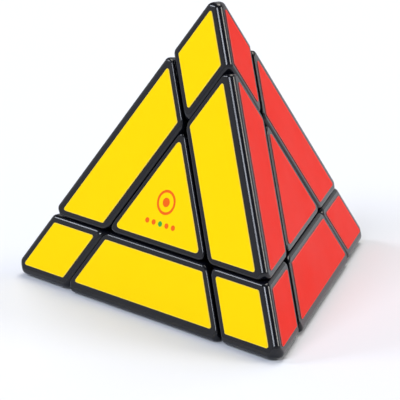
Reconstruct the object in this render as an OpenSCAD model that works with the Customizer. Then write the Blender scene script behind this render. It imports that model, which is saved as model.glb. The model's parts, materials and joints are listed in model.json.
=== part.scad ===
/* [Puzzle] */
// Length of each sharp edge of the pyramid, before its corners are blunted
edge_len = 100; // [98:0.5:104]
// Depth of each turning layer, as a share of the pyramid's height
layer_share = 0.21; // [0.205:0.001:0.215]
// Width of the visible gap between two neighbouring pieces
seam_gap = 0.4; // [0.3:0.05:0.6]
// Height cut off each sharp tip of the pyramid
tip_cut = 5; // [4:0.5:7]
// How much further in the corner pieces sit, along their own axis
corner_sink = 0.75; // [0:0.15:0.9]

/* [Piece edges] */
// Width of the flat along each outer edge of the pyramid
ridge_flat = 1.5; // [0.8:0.1:2]
// Width of the bevel where a ridge ends in a point, at both ends of each edge piece
end_bevel = 1.8; // [1:0.1:2.4]
// Width of the bevel along each seam
seam_bevel = 1; // [0.5:0.1:1.4]
// Width of the bevel down the side edges of each piece
side_bevel = 1.6; // [0.8:0.1:2]

/* [Stickers] */
// Thickness of the vinyl stickers
sticker_t = 0.2; // [0.1:0.05:0.3]
// Distance from a seam to the nearest sticker
sticker_seam_inset = 1.9; // [1.5:0.1:2.5]
// Distance from a sharp outer edge to the nearest sticker
sticker_edge_inset = 3.3; // [2.5:0.1:4]
// Corner radius of the stickers on edges and corners
sticker_corner_r = 0.6; // [0.4:0.1:1.5]
// Corner radius of the stickers on centres
centre_corner_r = 1; // [0.4:0.1:1.5]

/* [Mechanism] */
// Radius of the sphere on which the pieces slide over the feet
slide_r = 19; // [18.8:0.1:19.1]
// Radius of the hollow in the middle of the feet
hollow_r = 12; // [11.8:0.1:12.2]
// Distance from the puzzle's centre to the side of a foot
foot_cut = 0.8; // [0.7:0.1:1]
// Gap between a foot and what it slides on
running_gap = 0.15; // [0.15:0.01:0.2]
// Wall thickness of the outer shells
wall = 1.8; // [1.5:0.1:2.2]
// Gap around a foot's plug in its shell
plug_gap = 0.1; // [0.05:0.01:0.2]
// Height of a foot's plug in its shell
plug_h = 4; // [3:0.5:5]

/* [Screws and springs] */
// Diameter of the axis screws
screw_d = 3; // [2.8:0.1:3.2]
// Diameter of the screw heads
screw_head_d = 5.6; // [5.2:0.1:5.8]
// Thickness of the washers
washer_t = 0.5; // [0.4:0.1:0.6]
// Wire diameter of the axis springs
spring_wire_d = 0.6; // [0.4:0.1:0.6]
// Number of turns in each spring
spring_turns = 3; // [2:1:4]

/* [Hidden] */
FACES = ["front", "right", "left", "base"];
// Each entry is a piece's name and the faces that it shows
CENTRES = [["front", [0]], ["right", [1]], ["left", [2]], ["base", [3]]];
EDGES = [["front_base", [0, 3]], ["right_base", [1, 3]], ["left_base", [2, 3]],
         ["front_right", [0, 1]], ["front_left", [0, 2]], ["back", [1, 2]]];
CORNERS = [["front_right", [0, 1, 3]], ["front_left", [0, 2, 3]],
           ["back", [1, 2, 3]], ["top", [0, 1, 2]]];
BASE = CENTRES[3][1];
// The faces beside each face, in the order that they lie around it
BESIDE = [[3, 1, 2], [3, 2, 0], [3, 0, 1], [0, 2, 1]];

face_tilt = acos(1 / 3);
face_r = edge_len / sqrt(24);
height = edge_len * sqrt(2 / 3);
cut_r = face_r - layer_share * height;
centre_z = face_r + sticker_t;
reach = edge_len;
depth = 90;
seam_half = seam_gap / 2;

// Where each piece's shell or cap ends and its foot or hub begins, along the piece's own axis
cap_split = slide_r - 0.4;
edge_split = slide_r + 0.4;
corner_split = slide_r + 6.5;

// Distances along a turning axis
core_r = 7;
boss_bottom = 5;
boss_top = 7.4;
boss_r = 3.2;
flange_bottom = 7.6;
pocket_bottom = hollow_r + 0.3;
screw_bottom = 2.7;
washer_bottom = slide_r - 3.5;
head_bottom = washer_bottom + washer_t;
head_h = 1.8;
thread_bite = 0.1;
pocket_r = 3.6;
shaft_gap = 0.2;
spring_coil_r = 2.5;
spring_side_gap = 0.05;
slot_w = 0.7;
slot_len = 3.4;
slot_depth = 1;
peg_r = 1.4;
peg_len = 3.5;
peg_out = 12.5;

// Distances from a face's middle, along the face: a seam, the sides of the stickers beside it,
// and the outer side of the stickers along the pyramid's edge
seam_line = (cut_r + face_r / 3) / sin(face_tilt);
near = seam_line - sticker_seam_inset;
far = seam_line + sticker_seam_inset;
outermost = face_r * sqrt(2) - sticker_edge_inset;

ABS_BLACK = [0.09, 0.085, 0.1];
CORE_WHITE = [0.9, 0.9, 0.88];
STEEL = [0.72, 0.73, 0.75];
STICKER_COLOURS = [[1, 0.87, 0], [0.95, 0.22, 0.17], [0.1, 0.3, 0.8], [0.1, 0.62, 0.25]];

$fn = 64;

// The turn about +Z that points each face's local +X towards the first face beside it
function heading(f) = [-90, 30, 150, 90][f];
function tilt(f) = f == 3 ? 180 : face_tilt;
function normal(f) = [sin(tilt(f)) * cos(heading(f)), sin(tilt(f)) * sin(heading(f)), cos(tilt(f))];
function shows(piece, f) = len(search(f, piece)) > 0;
function corner_index(faces) = [for (i = [0:3]) if (len([for (f = CORNERS[i][1])
    if (shows(faces, f)) f]) == 3) i][0];
function corner_beside(f, k) = CORNERS[corner_index([f, BESIDE[f][k], BESIDE[f][(k + 1) % 3]])][0];
function axis_of(piece, i = 0) = i == len(piece) ? [0, 0, 0] : normal(piece[i]) + axis_of(piece, i + 1);
function unit(v) = v / norm(v);

// A plane is [unit outward normal, distance from the puzzle's centre]
function moved(planes, by) = [for (p = planes) [p[0], p[1] + by]];
function sides(piece, shown_from, others_to) = [for (f = [0:3])
    shows(piece, f) ? [-normal(f), -shown_from] : [normal(f), others_to]];
function outer_r(piece) = face_r - (len(piece) == 3 ? corner_sink / 3 : 0);
function outer_sides(piece) = [for (f = piece) [normal(f), outer_r(piece)]];
function half_turn_between(a, b) = acos(a * b) / 2;
function bevel(p, q, w) = [unit(p[0] + q[0]),
    (p[1] + q[1]) / norm(p[0] + q[0]) - w / 2 * tan(half_turn_between(p[0], q[0]))];
function meet(p, q) = p[0] * q[0] > -0.99;
function bevels(a, b, w) = [for (p = a, q = b) if (meet(p, q)) bevel(p, q, w)];
function pair_bevels(a, w) = [for (i = [0:1:len(a) - 1], j = [0:1:i - 1])
    if (meet(a[i], a[j])) bevel(a[i], a[j], w)];

// All the outward planes of one piece outside the slide sphere, bevels included
function piece_planes(piece) =
    let (cuts = sides(piece, cut_r + seam_half, cut_r - seam_half), outer = outer_sides(piece),
        ridges = pair_bevels(outer, ridge_flat))
    concat(cuts, outer, bevels(cuts, outer, seam_bevel), pair_bevels(cuts, side_bevel), ridges,
        len(piece) == 2 ? bevels(ridges, [for (p = cuts) if (p[1] > 0) p], end_bevel) : [],
        len(piece) == 3 ? [[unit(axis_of(piece)), 3 * face_r - tip_cut]] : []);
// The inside of a shell: the same cell, one wall further in
function cavity_planes(piece) = moved(concat(
    sides(piece, cut_r + seam_half, cut_r - seam_half), outer_sides(piece)), -wall);
function above(piece, at) = [[-unit(axis_of(piece)), -at]];
function below(piece, at) = [[unit(axis_of(piece)), at]];
function split_of(piece) = [cap_split, edge_split, corner_split][len(piece) - 1];

module along(v) {
    rotate([0, acos(v[2] / norm(v)), atan2(v[1], v[0])]) children();
}

module on_axis(f) {
    rotate([0, tilt(f), heading(f)]) children();
}

module at_centre() {
    translate([0, 0, centre_z]) children();
}

module inside(planes) {
    intersection_for (p = planes)
        along(p[0]) translate([-reach, -reach, p[1] - depth]) cube([2 * reach, 2 * reach, depth]);
}

// The outer shell of an edge or a corner, open towards its foot
module shell(piece) {
    color(ABS_BLACK) at_centre() difference() {
        inside(concat(piece_planes(piece), above(piece, split_of(piece))));
        inside(concat(cavity_planes(piece), above(piece, split_of(piece) - 1)));
    }
}

// The inner half of an edge or a corner: its root, its neck, the foot that its neighbours
// hold down, and the plug that fills the mouth of the shell
module foot(piece) {
    color(ABS_BLACK) at_centre() union() {
        difference() {
            inside(concat(piece_planes(piece), below(piece, split_of(piece))));
            sphere(slide_r + running_gap);
        }
        difference() {
            intersection() {
                inside(sides(piece, foot_cut + running_gap, foot_cut - running_gap));
                sphere(slide_r - running_gap);
            }
            sphere(hollow_r + running_gap);
        }
        difference() {
            inside(concat(sides(piece, cut_r + seam_half, foot_cut - running_gap),
                below(piece, split_of(piece))));
            sphere(hollow_r + running_gap);
        }
        inside(concat(moved(cavity_planes(piece), -plug_gap),
            above(piece, split_of(piece) - 1), below(piece, split_of(piece) + plug_h)));
    }
}

// Hubs and caps are drawn for the base, and this turns them to their own face
module base_to_face(f) {
    on_axis(f) rotate([0, -tilt(BASE[0]), 0]) rotate([0, 0, -heading(BASE[0])]) children();
}

module peg_places() {
    on_axis(BASE[0]) for (k = [0:2])
        rotate([0, 0, 60 + 120 * k]) translate([peg_out, 0, cap_split]) children();
}

// The turning middle of a face: its root, its neck and the round flange that carries the feet
module hub(f) {
    color(ABS_BLACK) at_centre() base_to_face(f) difference() {
        union() {
            difference() {
                inside(concat(piece_planes(BASE), below(BASE, cap_split)));
                sphere(slide_r + running_gap);
            }
            inside(concat(sides(BASE, flange_bottom, foot_cut - running_gap),
                below(BASE, cap_split)));
            intersection() {
                sphere(hollow_r - running_gap);
                inside(above(BASE, flange_bottom));
            }
        }
        on_axis(BASE[0]) cylinder(r = screw_d / 2 + shaft_gap, h = reach);
        on_axis(BASE[0]) translate([0, 0, pocket_bottom]) cylinder(r = pocket_r, h = reach);
        peg_places() translate([0, 0, -peg_len - 0.5])
            cylinder(r = peg_r + plug_gap, h = peg_len + 1);
    }
}

// The lid over a hub's screw, with three pegs
module cap(f) {
    color(ABS_BLACK) at_centre() base_to_face(f) union() {
        inside(concat(piece_planes(BASE), above(BASE, cap_split)));
        peg_places() translate([0, 0, -peg_len]) cylinder(r = peg_r, h = peg_len + 0.5);
    }
}

module core() {
    color(CORE_WHITE) at_centre() difference() {
        union() {
            sphere(core_r);
            for (f = [0:3]) on_axis(f) translate([0, 0, boss_bottom])
                cylinder(r = boss_r, h = boss_top - boss_bottom);
        }
        for (f = [0:3]) on_axis(f) translate([0, 0, screw_bottom])
            cylinder(r = screw_d / 2 - thread_bite, h = reach);
    }
}

module axis_screw() {
    difference() {
        union() {
            translate([0, 0, screw_bottom])
                cylinder(d = screw_d, h = head_bottom - screw_bottom);
            translate([0, 0, head_bottom]) cylinder(d = screw_head_d, h = head_h);
        }
        for (turn = [0, 90]) rotate([0, 0, turn])
            translate([-slot_len / 2, -slot_w / 2, head_bottom + head_h - slot_depth])
                cube([slot_len, slot_w, slot_depth + 1]);
    }
}

module axis_screws() {
    color(STEEL) at_centre() for (f = [0:3]) on_axis(f) axis_screw();
}

module axis_washers() {
    color(STEEL) at_centre() for (f = [0:3]) on_axis(f) translate([0, 0, washer_bottom])
        difference() {
            cylinder(d = screw_head_d + 0.8, h = washer_t);
            translate([0, 0, -1]) cylinder(r = screw_d / 2 + shaft_gap, h = washer_t + 2);
        }
}

// One ring of a spring's wire for each step along the helix, joined as a tube
module spring(bottom, top) {
    ring = 6;
    steps = 12 * spring_turns;
    wire_r = spring_wire_d / 2;
    rise = (top - bottom - spring_wire_d) / steps;
    points = [for (i = [0:steps], k = [0:ring - 1])
        let (turn = 30 * i, out = spring_coil_r + wire_r * cos(60 * k))
        [out * cos(turn), out * sin(turn), bottom + wire_r + rise * i + wire_r * sin(60 * k)]];
    skin = [for (i = [0:steps - 1], k = [0:ring - 1])
        let (a = ring * i + k, b = ring * i + (k + 1) % ring) [a, a + ring, b + ring, b]];
    ends = [[for (k = [0:ring - 1]) k], [for (k = [ring - 1:-1:0]) ring * steps + k]];
    polyhedron(points, concat(skin, ends));
}

module axis_springs() {
    color(STEEL) at_centre() for (f = [0:3]) on_axis(f)
        spring(pocket_bottom + spring_side_gap, washer_bottom - spring_side_gap);
}

// A sticker's outline is a list of lines [direction, distance from the face's middle], in the
// order that they go around it, and each corner is rounded by an arc
function crossing(a, b) = let (s = sin(b[0] - a[0]))
    [(a[1] * sin(b[0]) - b[1] * sin(a[0])) / s, (b[1] * cos(a[0]) - a[1] * cos(b[0])) / s];
function arc(middle, r, from, to) = let (steps = ceil((to - from) / 20))
    [for (k = [0:steps]) let (turn = from + (to - from) * k / steps)
        middle + r * [cos(turn), sin(turn)]];
function rounded(lines, r) = [for (i = [0:len(lines) - 1])
    let (a = lines[i], b = lines[(i + 1) % len(lines)])
    each arc(crossing([a[0], a[1] - r], [b[0], b[1] - r]), r, a[0], b[0] < a[0] ? b[0] + 360 : b[0])];

module sticker(f, lines, corner_r, up) {
    color(STICKER_COLOURS[f]) at_centre() on_axis(f) translate([0, 0, up])
        linear_extrude(sticker_t) polygon(rounded(lines, corner_r));
}

module centre_sticker(f) {
    sticker(f, [for (k = [0:2]) [120 * k, near]], centre_corner_r, face_r);
}

module edge_sticker(f, k) {
    sticker(f, [[120 * k, outermost], [120 * k + 120, near], [120 * k + 180, -far],
        [120 * k + 240, near]], sticker_corner_r, face_r);
}

module corner_sticker(f, k) {
    sticker(f, [[120 * k, outermost], [120 * k + 120, outermost], [120 * k + 180, -far],
        [120 * k + 300, -far]], sticker_corner_r, face_r - corner_sink / 3);
}

core();
axis_screws();
axis_springs();
axis_washers();
for (p = CENTRES) {
    hub(p[1][0]);
    cap(p[1][0]);
}
for (p = EDGES) {
    foot(p[1]);
    shell(p[1]);
}
for (p = CORNERS) {
    foot(p[1]);
    shell(p[1]);
}
for (f = [0:3]) {
    face = FACES[f];
    centre_sticker(f);
    for (k = [0:2]) {
        edge = FACES[BESIDE[f][k]];
        corner = corner_beside(f, k);
        edge_sticker(f, k);
        corner_sticker(f, k);
    }
}
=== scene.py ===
"""Pyramid twisty puzzle: rounded shells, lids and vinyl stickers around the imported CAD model."""
import json
import math

import bmesh
import bpy
from mathutils import Matrix, Quaternion, Vector


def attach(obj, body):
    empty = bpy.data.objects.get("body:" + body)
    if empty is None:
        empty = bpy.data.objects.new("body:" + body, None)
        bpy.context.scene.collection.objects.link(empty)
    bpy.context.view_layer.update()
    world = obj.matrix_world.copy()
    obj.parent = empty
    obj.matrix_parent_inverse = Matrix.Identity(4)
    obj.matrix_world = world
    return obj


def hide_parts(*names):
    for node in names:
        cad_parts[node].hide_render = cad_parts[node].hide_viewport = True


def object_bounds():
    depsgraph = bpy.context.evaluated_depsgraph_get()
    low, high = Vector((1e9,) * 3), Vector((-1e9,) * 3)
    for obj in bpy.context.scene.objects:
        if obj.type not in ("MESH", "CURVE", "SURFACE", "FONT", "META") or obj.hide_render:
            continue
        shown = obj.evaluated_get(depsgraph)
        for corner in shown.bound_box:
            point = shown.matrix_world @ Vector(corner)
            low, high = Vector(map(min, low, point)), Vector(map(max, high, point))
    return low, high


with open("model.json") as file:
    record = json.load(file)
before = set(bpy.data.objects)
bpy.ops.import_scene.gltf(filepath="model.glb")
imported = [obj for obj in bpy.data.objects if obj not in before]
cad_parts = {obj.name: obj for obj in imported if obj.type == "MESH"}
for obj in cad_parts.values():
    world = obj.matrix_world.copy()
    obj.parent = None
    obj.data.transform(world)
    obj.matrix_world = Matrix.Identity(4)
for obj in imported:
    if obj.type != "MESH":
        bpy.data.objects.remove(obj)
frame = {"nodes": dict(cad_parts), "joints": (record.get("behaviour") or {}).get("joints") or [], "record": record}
cad_low, cad_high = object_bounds()

MM = 0.001
BODIES = frame["record"]["behaviour"]["bodies"]
FACES = ("front", "right", "left", "base")
JOINTS = {joint["name"]: joint for joint in frame["joints"]}
CENTRE = Vector(JOINTS["base_turn"]["pos_m"])
NORMAL = {face: Vector(JOINTS[face + "_turn"]["axis"]).normalized() for face in FACES}

# Sizes in millimetres
WALL = 1.8            # wall of the hollow shells
SIDE_ROUND = 2.0      # radius of each piece's upright corners
FILLET_REACH = 0.85   # how far the rounding of the other edges reaches along their faces
TIP_ROUND = 1.3       # how far the rounding of the blunted tips reaches
STICKER_ROUND = 0.6   # corner radius of the stickers on edges and corners
CENTRE_ROUND = 1.0    # corner radius of the stickers on centres
STICKER_LIP = 0.12    # how far the rounding of a sticker's cut edge reaches
STOCK = 200           # block that the pieces are carved from
ON_PLANE = 1e-5       # a corner this near to a cut counts as on it
SAME_POINT = 1e-4     # corners nearer than this are merged
OPEN_END = 1          # how far a hollow is cut past the end of its shell
LARGEST_FILLET = 6    # faces above this many square millimetres are flats
FLOOR_GAP = 0.02      # how far the floor stays below the lowest stickers
FLOOR_RADIUS = 1600   # reaches past every view

# Angles in degrees
ALREADY_ROUND = 22    # edges that turn less than this are part of a rounding
CREASE = 40           # edges that turn at least this much are shaded as sharp

# How many facets each rounding has
SIDE_SEGMENTS = 7
RIDGE_SEGMENTS = 10
TIP_SEGMENTS = 5
FILLET_SEGMENTS = 4
STICKER_SEGMENTS = 8
LIP_SEGMENTS = 2
FLOOR_SEGMENTS = 96


# ---------------------------------------------------------------- measuring the frame

def span(node, direction):
    """How far a CAD node reaches each way along a direction from the puzzle's centre, in mm."""
    reach = [(v.co - CENTRE).dot(direction) / MM for v in frame["nodes"][node].data.vertices]
    return min(reach), max(reach)


def faces_of(body):
    """The faces that a piece shows, read from the stickers it carries."""
    return [node.split("_")[1] for node in BODIES[body] if node.startswith("sticker_")]


def along_face(face, other):
    """The direction in a face's plane that points straight at another face."""
    flat = NORMAL[other] - NORMAL[face] * NORMAL[other].dot(NORMAL[face])
    return flat.normalized()


# ---------------------------------------------------------------- carving and rounding

def carve(planes):
    """A closed convex solid cut by planes (normal, distance, kind), with each face's kind in a layer."""
    bm = bmesh.new()
    bmesh.ops.create_cube(bm, size=STOCK)
    kind = bm.faces.layers.int.new("kind")
    for number, (normal, distance, _) in enumerate(planes):
        cut = bmesh.ops.bisect_plane(
            bm, geom=bm.verts[:] + bm.edges[:] + bm.faces[:], dist=ON_PLANE,
            plane_co=normal * distance, plane_no=normal, clear_outer=True)
        rim = [e for e in cut["geom_cut"] if isinstance(e, bmesh.types.BMEdge)]
        if rim:
            made = bmesh.ops.contextual_create(bm, geom=rim)
            for face in made["faces"]:
                face[kind] = number
    bmesh.ops.remove_doubles(bm, verts=bm.verts[:], dist=SAME_POINT)
    bmesh.ops.recalc_face_normals(bm, faces=bm.faces[:])
    bm.normal_update()
    return bm, kind


def edges_between(bm, layer, planes, kinds):
    """The edges whose two faces are of these two kinds."""
    found = []
    for edge in bm.edges:
        pair = sorted(planes[face[layer]][2] for face in edge.link_faces)
        if pair == sorted(kinds):
            found.append(edge)
    return found


def round_off(bm, edges, reach, segments):
    """Rounds edges so that the rounding reaches this far along their faces."""
    bmesh.ops.bevel(bm, geom=edges, offset=reach, offset_type="OFFSET", segments=segments,
                    profile=0.5, affect="EDGES", clamp_overlap=True)


def round_to_radius(bm, edges, radius, segments):
    """Rounds edges to a true radius: how far that reaches along the faces depends on their angle."""
    by_reach = {}
    for edge in edges:
        reach = radius * math.tan(edge.calc_face_angle() / 2)
        by_reach.setdefault(round(reach, 3), []).append(edge)
    for reach, group in by_reach.items():
        round_off(bm, group, reach, segments)


def to_object(bm, name):
    """The solid as an object, still in millimetres from the puzzle's centre."""
    mesh = bpy.data.meshes.new(name)
    bm.to_mesh(mesh)
    bm.free()
    piece = bpy.data.objects.new(name, mesh)
    bpy.context.scene.collection.objects.link(piece)
    return piece


def apply_modifiers(piece):
    """Makes the result of a piece's modifiers its own mesh."""
    bpy.context.view_layer.update()
    graph = bpy.context.evaluated_depsgraph_get()
    mesh = bpy.data.meshes.new_from_object(piece.evaluated_get(graph))
    piece.modifiers.clear()
    old = piece.data
    piece.data = mesh
    bpy.data.meshes.remove(old)


def round_the_rest(bm, layer, planes):
    """Rounds every edge that is still sharp, except around the split."""
    rest = [e for e in bm.edges if e.calc_face_angle(0) > math.radians(ALREADY_ROUND)
            and all(planes[face[layer]][2] != "split" for face in e.link_faces)]
    round_off(bm, rest, FILLET_REACH, FILLET_SEGMENTS)


def cut_out(piece, tool):
    """Cuts the tool's solid out of the piece for good, and deletes the tool."""
    boolean = piece.modifiers.new("cut", "BOOLEAN")
    boolean.operation = "DIFFERENCE"
    boolean.solver = "EXACT"
    boolean.object = tool
    apply_modifiers(piece)
    bpy.data.objects.remove(tool)


def settle(piece, material):
    """Moves a finished piece from millimetres around the centre to metres in the row frame."""
    for vert in piece.data.vertices:
        vert.co = CENTRE + vert.co * MM
    piece.data.materials.clear()
    piece.data.materials.append(material)
    piece.data.update()


def clean_shading(piece):
    """Keeps flats flat beside their fillets, and creases only the truly sharp edges."""
    bm = bmesh.new()
    bm.from_mesh(piece.data)
    fillet = bm.faces.layers.float.new("fillet")
    for face in bm.faces:
        face[fillet] = 1.0 if face.calc_area() < LARGEST_FILLET * MM * MM else 0.0
    for edge in bm.edges:
        edge.smooth = len(edge.link_faces) == 2 and edge.calc_face_angle(0) < math.radians(CREASE)
    for face in bm.faces:
        face.smooth = True
    bm.to_mesh(piece.data)
    bm.free()
    weighted = piece.modifiers.new("flat_shading", "WEIGHTED_NORMAL")
    weighted.weight = 80
    weighted.keep_sharp = True


# ---------------------------------------------------------------- materials

def new_material(name):
    """A node material with its nodes, its links and its shader."""
    material = bpy.data.materials.new(name)
    material.use_nodes = True
    nodes = material.node_tree.nodes
    shader = next(n for n in nodes if n.type == "BSDF_PRINCIPLED")
    return material, nodes, material.node_tree.links, shader


def noise(nodes, links, scale, detail=4.0, roughness=0.6):
    """A noise in metres of the object's own space, so that it stays on the piece as it turns."""
    place = nodes.get("place") or nodes.new("ShaderNodeTexCoord")
    place.name = "place"
    texture = nodes.new("ShaderNodeTexNoise")
    texture.inputs["Scale"].default_value = scale
    texture.inputs["Detail"].default_value = detail
    texture.inputs["Roughness"].default_value = roughness
    links.new(place.outputs["Object"], texture.inputs["Vector"])
    return texture.outputs["Fac"]


def spread(nodes, links, value, low, high):
    """Maps a noise's middle range onto low to high."""
    remap = nodes.new("ShaderNodeMapRange")
    remap.inputs["From Min"].default_value = 0.3
    remap.inputs["From Max"].default_value = 0.7
    remap.inputs["To Min"].default_value = low
    remap.inputs["To Max"].default_value = high
    links.new(value, remap.inputs["Value"])
    return remap.outputs["Result"]


def blend_colours(nodes, links, factor, first, second):
    """A colour between two colours, each a socket or three numbers."""
    mix = nodes.new("ShaderNodeMix")
    mix.data_type = "RGBA"
    links.new(factor, mix.inputs["Factor"])
    first_colour, second_colour, blended = mix.inputs[6], mix.inputs[7], mix.outputs[2]
    for socket, colour in ((first_colour, first), (second_colour, second)):
        if isinstance(colour, tuple):
            socket.default_value = (*colour, 1)
        else:
            links.new(colour, socket)
    return blended


def maths(nodes, links, operation, first, second):
    """The result of a sum on two values, each a socket or a number."""
    node = nodes.new("ShaderNodeMath")
    node.operation = operation
    for socket, value in zip(node.inputs, (first, second)):
        if isinstance(value, (int, float)):
            socket.default_value = value
        else:
            links.new(value, socket)
    return node.outputs[0]


def bump(nodes, links, shader, layers):
    """Stacks bump layers, each (height socket, depth in metres)."""
    previous = None
    for height, depth in layers:
        node = nodes.new("ShaderNodeBump")
        node.inputs["Strength"].default_value = 1.0
        node.inputs["Distance"].default_value = depth
        links.new(height, node.inputs["Height"])
        if previous:
            links.new(previous, node.inputs["Normal"])
        previous = node.outputs["Normal"]
    links.new(previous, shader.inputs["Normal"])


def black_abs():
    """Moulded black plastic: satin flats with a fine grain, more polished on the fillets."""
    material, nodes, links, shader = new_material("black_abs")
    fillet = nodes.new("ShaderNodeAttribute")
    fillet.attribute_name = "fillet"
    cloud = noise(nodes, links, 160, 3)
    tone = blend_colours(nodes, links, cloud, (0.0022, 0.0026, 0.0050), (0.0046, 0.0052, 0.0090))
    handled = noise(nodes, links, 60, 5, 0.65)
    rough = spread(nodes, links, handled, 0.19, 0.25)
    polish = maths(nodes, links, "MULTIPLY", fillet.outputs["Fac"], 0.06)
    links.new(maths(nodes, links, "SUBTRACT", rough, polish), shader.inputs["Roughness"])
    links.new(tone, shader.inputs["Base Color"])
    shader.inputs["Specular IOR Level"].default_value = 0.42
    bump(nodes, links, shader, [
        (noise(nodes, links, 4500, 2), 0.0000012),
        (noise(nodes, links, 220, 2), 0.000006)])
    return material


def print_marks(nodes, links, tone, marks):
    """Prints rings and dots on the front face: (across, up, inner radius, outer radius, colour)."""
    up = along_face("front", "base") * -1
    across = up.cross(NORMAL["front"])
    middle = CENTRE + NORMAL["front"] * span("sticker_front_centre", NORMAL["front"])[1] * MM
    for right, above, inner, outer, colour in marks:
        distance = nodes.new("ShaderNodeVectorMath")
        distance.operation = "DISTANCE"
        links.new(nodes["place"].outputs["Object"], distance.inputs[0])
        distance.inputs[1].default_value = middle + (across * right + up * above) * MM
        from_line = maths(nodes, links, "SUBTRACT", distance.outputs["Value"], (inner + outer) / 2 * MM)
        from_line = maths(nodes, links, "ABSOLUTE", from_line, 0)
        inked = maths(nodes, links, "LESS_THAN", from_line, (outer - inner) / 2 * MM)
        tone = blend_colours(nodes, links, inked, tone, colour)
    return tone


def vinyl(name, colour, marks=()):
    """Glossy sign vinyl: an even colour, a slight ripple where it was pressed on, and a paler rim painted on its
    rounded cut edge as a highlight.
    """
    material, nodes, links, shader = new_material(name)
    deep = tuple(channel * 0.965 for channel in colour)
    # Painted highlight: the sticker colour lifted towards white, for the rim of each sticker
    painted_rim_highlight = tuple(channel * 0.86 + 0.11 for channel in colour)
    lip = nodes.new("ShaderNodeAttribute")
    lip.attribute_name = "fillet"
    tone = blend_colours(nodes, links, noise(nodes, links, 90, 4), deep, colour)
    tone = print_marks(nodes, links, tone, marks)
    # Painted highlight: the small rounded rim faces get the paler colour, for the light that catches the sticker's
    # edge
    tone = blend_colours(nodes, links, lip.outputs["Fac"], tone, painted_rim_highlight)
    links.new(tone, shader.inputs["Base Color"])
    links.new(spread(nodes, links, noise(nodes, links, 70, 5), 0.32, 0.42), shader.inputs["Roughness"])
    shader.inputs["Specular IOR Level"].default_value = 0.05
    bump(nodes, links, shader, [
        (noise(nodes, links, 2500, 2), 0.0000015),
        (noise(nodes, links, 110, 2), 0.000008)])
    return material


def steel(name, shine):
    """Plated steel with fine turning marks."""
    material, nodes, links, shader = new_material(name)
    tone = blend_colours(nodes, links, noise(nodes, links, 300, 4), (0.46, 0.47, 0.49), (0.60, 0.61, 0.62))
    links.new(tone, shader.inputs["Base Color"])
    shader.inputs["Metallic"].default_value = 1.0
    links.new(spread(nodes, links, noise(nodes, links, 900, 3), shine, shine + 0.12),
              shader.inputs["Roughness"])
    bump(nodes, links, shader, [(noise(nodes, links, 6000, 2), 0.000002)])
    return material


def white_abs():
    """The core's natural white plastic."""
    material, nodes, links, shader = new_material("white_abs")
    tone = blend_colours(nodes, links, noise(nodes, links, 150, 4), (0.70, 0.69, 0.65), (0.78, 0.77, 0.73))
    links.new(tone, shader.inputs["Base Color"])
    links.new(spread(nodes, links, noise(nodes, links, 120, 4), 0.38, 0.5), shader.inputs["Roughness"])
    bump(nodes, links, shader, [(noise(nodes, links, 3000, 2), 0.000003)])
    return material


def paper_floor():
    """Pale, slightly cool paper."""
    material, nodes, links, shader = new_material("paper_floor")
    cloud = noise(nodes, links, 3, 3)
    tone = blend_colours(nodes, links, cloud, (0.736, 0.756, 0.802), (0.756, 0.776, 0.822))
    links.new(tone, shader.inputs["Base Color"])
    shader.inputs["Roughness"].default_value = 0.9
    shader.inputs["Specular IOR Level"].default_value = 0.1
    return material


YELLOW = (0.98, 0.672, 0.0)
ORANGE_INK = (0.86, 0.13, 0.01)
GREEN_INK = (0.05, 0.35, 0.06)

# A ring around a dot, and below them a row of five small dots with a green one in the middle
RING = (0.4, 1.2, 2.5, 3.2, ORANGE_INK)
DOT = (0.4, 1.2, 0, 1.2, ORANGE_INK)
SMALL_DOTS = [(step * 2.3, -4.5, 0, 0.7, GREEN_INK if step == 0 else ORANGE_INK) for step in range(-2, 3)]

BLACK = black_abs()
PRINTED = vinyl("printed_yellow_vinyl", YELLOW, [RING, DOT, *SMALL_DOTS])
VINYL = {
    "front": vinyl("yellow_vinyl", YELLOW),
    "right": vinyl("red_vinyl", (0.86, 0.014, 0.001)),
    "left": vinyl("blue_vinyl", (0.015, 0.11, 0.60)),
    "base": vinyl("green_vinyl", (0.01, 0.34, 0.07)),
}
CARRIED_OVER = {
    "core": white_abs(),
    "axis_screws": steel("zinc_plate", 0.22),
    "axis_springs": steel("drawn_wire", 0.3),
    "axis_washers": steel("washer_plate", 0.28),
}


# ---------------------------------------------------------------- pieces

def cell_planes(node, shown, outward, split):
    """The planes of a shell or a lid: outer faces, seams, blunted ends, tip, and the split."""
    planes = []
    for face in FACES:
        low, high = span(node, NORMAL[face])
        if face in shown:
            planes.append((NORMAL[face], high, "outer"))
            if len(shown) > 1:
                planes.append((-NORMAL[face], -low, "seam"))
        elif len(shown) < 3:
            planes.append((NORMAL[face], high, "seam"))
    if len(shown) == 2:
        ridge = (NORMAL[shown[0]] + NORMAL[shown[1]]).normalized()
        for face in FACES:
            if face not in shown:
                blunt = (ridge + NORMAL[face]).normalized()
                planes.append((blunt, span(node, blunt)[1], "end"))
    if len(shown) == 3:
        planes.append((outward, span(node, outward)[1], "tip"))
    planes.append((-outward, -split, "split"))
    return planes


def ridge_round(node, shown):
    """The radius of the full round that reaches as far out as the CAD's flat ridge."""
    ridge = NORMAL[shown[0]] + NORMAL[shown[1]]
    sharp = 2 * span(node, NORMAL[shown[0]])[1] / ridge.length
    half_angle = math.acos(ridge.length / 2)
    return (sharp - span(node, ridge.normalized())[1]) / (1 / math.cos(half_angle) - 1)


def rounded_cell(node, shown, planes):
    """A shell or lid with round ridges and uprights, a domed tip and a fillet on the other edges."""
    bm, layer = carve(planes)
    uprights = edges_between(bm, layer, planes, ("seam", "seam"))
    round_to_radius(bm, uprights, SIDE_ROUND, SIDE_SEGMENTS)
    if len(shown) > 1:
        ridges = edges_between(bm, layer, planes, ("outer", "outer"))
        round_to_radius(bm, ridges, ridge_round(node, shown), RIDGE_SEGMENTS)
    if len(shown) == 3:
        round_off(bm, edges_between(bm, layer, planes, ("outer", "tip")), TIP_ROUND, TIP_SEGMENTS)
    round_the_rest(bm, layer, planes)
    return to_object(bm, "rounded_" + node)


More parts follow.
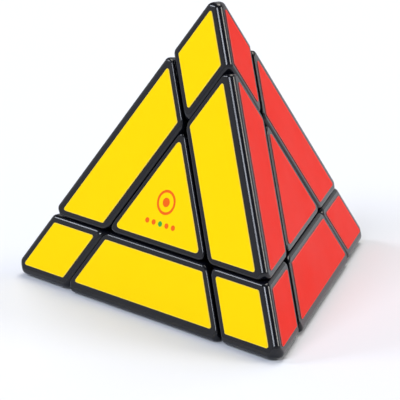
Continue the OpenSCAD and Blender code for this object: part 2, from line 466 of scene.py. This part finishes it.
def make_shell(body, node):
    """The hollow outer half of an edge or a corner."""
    shown = faces_of(body)
    axis = sum((NORMAL[face] for face in shown), Vector()).normalized()
    planes = cell_planes(node, shown, axis, span(node, axis)[0])
    piece = rounded_cell(node, shown, planes)
    hollow = [(n, d - WALL, kind) for n, d, kind in planes if kind in ("outer", "seam")]
    direction, distance, kind = planes[-1]
    hollow.append((direction, distance + OPEN_END, kind))
    tool_mesh, _ = carve(hollow)
    cut_out(piece, to_object(tool_mesh, "cavity"))
    return piece


def make_lid(body, node, hub):
    """The lid over a centre's screw."""
    shown = faces_of(body)
    axis = NORMAL[shown[0]]
    planes = cell_planes(node, shown, axis, span(hub, axis)[1])
    return rounded_cell(node, shown, planes)


def make_sticker(node, face, shown):
    """A sticker from the extents of its CAD solid, with round corners."""
    low, high = span(node, NORMAL[face])
    planes = [(NORMAL[face], high, "top"), (-NORMAL[face], -low, "back")]
    for other in FACES:
        if other == face or (len(shown) == 3 and other not in shown):
            continue
        direction = along_face(face, other)
        low, high = span(node, direction)
        planes.append((direction, high, "side"))
        if other in shown:
            planes.append((-direction, -low, "side"))
    bm, layer = carve(planes)
    radius = CENTRE_ROUND if len(shown) == 1 else STICKER_ROUND
    corners = edges_between(bm, layer, planes, ("side", "side"))
    round_to_radius(bm, corners, radius, STICKER_SEGMENTS)
    round_off(bm, edges_between(bm, layer, planes, ("side", "top")), STICKER_LIP, LIP_SEGMENTS)
    return to_object(bm, "rounded_" + node)


def dress(body, nodes):
    """Replaces a body's shell or lid and its stickers, and gives its other nodes their material."""
    shown = faces_of(body)
    for node in nodes:
        slot, material = "black_plastic", BLACK
        if node.endswith("_shell"):
            piece = make_shell(body, node)
        elif node.endswith("_cap"):
            piece = make_lid(body, node, node.replace("_cap", "_hub"))
        elif node.startswith("sticker_"):
            face = node.split("_")[1]
            piece = make_sticker(node, face, shown)
            slot = "sticker_" + face
            material = PRINTED if node == "sticker_front_centre" else VINYL[face]
        else:
            repaint(frame["nodes"][node], CARRIED_OVER.get(node, BLACK))
            continue
        settle(piece, material)
        clean_shading(piece)
        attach(piece, body)
        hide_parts(node)


def repaint(node, material):
    """Gives a CAD node that is carried over its material."""
    for held in node.material_slots:
        held.material = material


for body, nodes in BODIES.items():
    dress(body, nodes)


# ---------------------------------------------------------------- floor, light and camera

AZIMUTH, ELEVATION, ROLL = math.radians(45.04), math.radians(18.74), math.radians(-0.475)
LENS, SENSOR = 302.5, 36
DISTANCE, SHIFT_RIGHT, SHIFT_UP = 8.61, -0.04725, 0.03668   # in sharp edge lengths of the pyramid
LAMP_DISTANCE = 2   # in metres
TO_CAMERA = Vector((math.sin(AZIMUTH) * math.cos(ELEVATION),
                    -math.cos(AZIMUTH) * math.cos(ELEVATION), math.sin(ELEVATION)))
UP = Vector((0, 0, 1))
COOL, WARM = (0.94, 1.0, 1.14), (1.04, 1.0, 0.93)
SKY = ((0.0, 0.30), (0.06, 0.70), (0.25, 0.70), (0.60, 0.12))   # height and brightness


def make_floor():
    """A disc of paper that reaches past every view."""
    bpy.ops.mesh.primitive_circle_add(vertices=FLOOR_SEGMENTS, radius=FLOOR_RADIUS * MM, fill_type="NGON",
                                      location=(0, 0, cad_low.z - FLOOR_GAP * MM))
    floor = bpy.context.object
    floor.name = "floor"
    floor.data.materials.append(paper_floor())


def glint(first, second, share):
    """Where a light must stand to glint in the rounding between two normals, seen from the camera."""
    normal = first.lerp(second, share).normalized()
    return (2 * normal.dot(TO_CAMERA) * normal - TO_CAMERA).normalized()


def strip(name, start, end, breadth, radiance, colour):
    """An area light that stretches from one direction to another, as bright as radiance says."""
    outward = (start + end).normalized()
    along = (end - start).normalized()
    across = outward.cross(along)
    data = bpy.data.lights.new(name, "AREA")
    data.shape = "RECTANGLE"
    data.size = (end - start).length * LAMP_DISTANCE
    data.size_y = breadth
    data.energy = radiance * math.pi * data.size * data.size_y
    data.color = colour
    lamp = bpy.data.objects.new(name, data)
    turn = Matrix((along, across, outward)).transposed()
    lamp.matrix_world = Matrix.Translation(CENTRE + outward * LAMP_DISTANCE) @ turn.to_4x4()
    bpy.context.scene.collection.objects.link(lamp)


def make_sky():
    """A studio world: dark below the table, bright walls, and a ceiling that is darker again."""
    world = bpy.data.worlds.new("studio")
    world.use_nodes = True
    nodes, links = world.node_tree.nodes, world.node_tree.links
    place = nodes.new("ShaderNodeTexCoord")
    split = nodes.new("ShaderNodeSeparateXYZ")
    ramp = nodes.new("ShaderNodeValToRGB")
    links.new(place.outputs["Generated"], split.inputs["Vector"])
    links.new(split.outputs["Z"], ramp.inputs["Fac"])
    while len(ramp.color_ramp.elements) < len(SKY):
        ramp.color_ramp.elements.new(0.5)
    for element, (height, grey) in zip(ramp.color_ramp.elements, SKY):
        element.position = height
        element.color = (grey, grey * 1.01, grey * 1.04, 1)
    links.new(ramp.outputs["Color"], nodes["Background"].inputs["Color"])
    bpy.context.scene.world = world


def make_light():
    """The studio world, and a strip light for each highlight on the black edges."""
    make_sky()
    front, right = NORMAL["front"], NORMAL["right"]
    ridge = (front + right).normalized()
    strip("front_strip", glint(front, ridge, 0.40), glint(front, ridge, 0.60), 0.5, 14.5, COOL)
    strip("left_strip", glint(front, UP, 0.22), glint(front, UP, 0.36), 0.5, 11, COOL)
    strip("back_strip", glint(ridge, right, 0.32), glint(ridge, right, 0.50), 0.5, 11, WARM)
    strip("top_strip", glint(ridge, UP, 0.4), glint(ridge, UP, 0.75), 1.2, 5.3, WARM)


def make_camera():
    """A long lens, a little above the puzzle and an eighth of a turn to the right of its front."""
    edge = span("edge_front_base_shell", NORMAL["base"])[1] * MM * math.sqrt(24)
    turn = (-TO_CAMERA).to_track_quat("-Z", "Y")
    turn.rotate(Quaternion(TO_CAMERA, ROLL))
    right, up = turn @ Vector((1, 0, 0)), turn @ Vector((0, 1, 0))
    data = bpy.data.cameras.new("camera")
    data.lens = LENS
    data.sensor_width = SENSOR
    data.clip_start, data.clip_end = 0.05, 20
    camera = bpy.data.objects.new("camera", data)
    camera.rotation_mode = "QUATERNION"
    camera.rotation_quaternion = turn
    camera.location = CENTRE + (TO_CAMERA * DISTANCE + right * SHIFT_RIGHT + up * SHIFT_UP) * edge
    bpy.context.scene.collection.objects.link(camera)
    bpy.context.scene.camera = camera


make_floor()
make_light()
make_camera()
bpy.context.scene.view_settings.view_transform = "Standard"
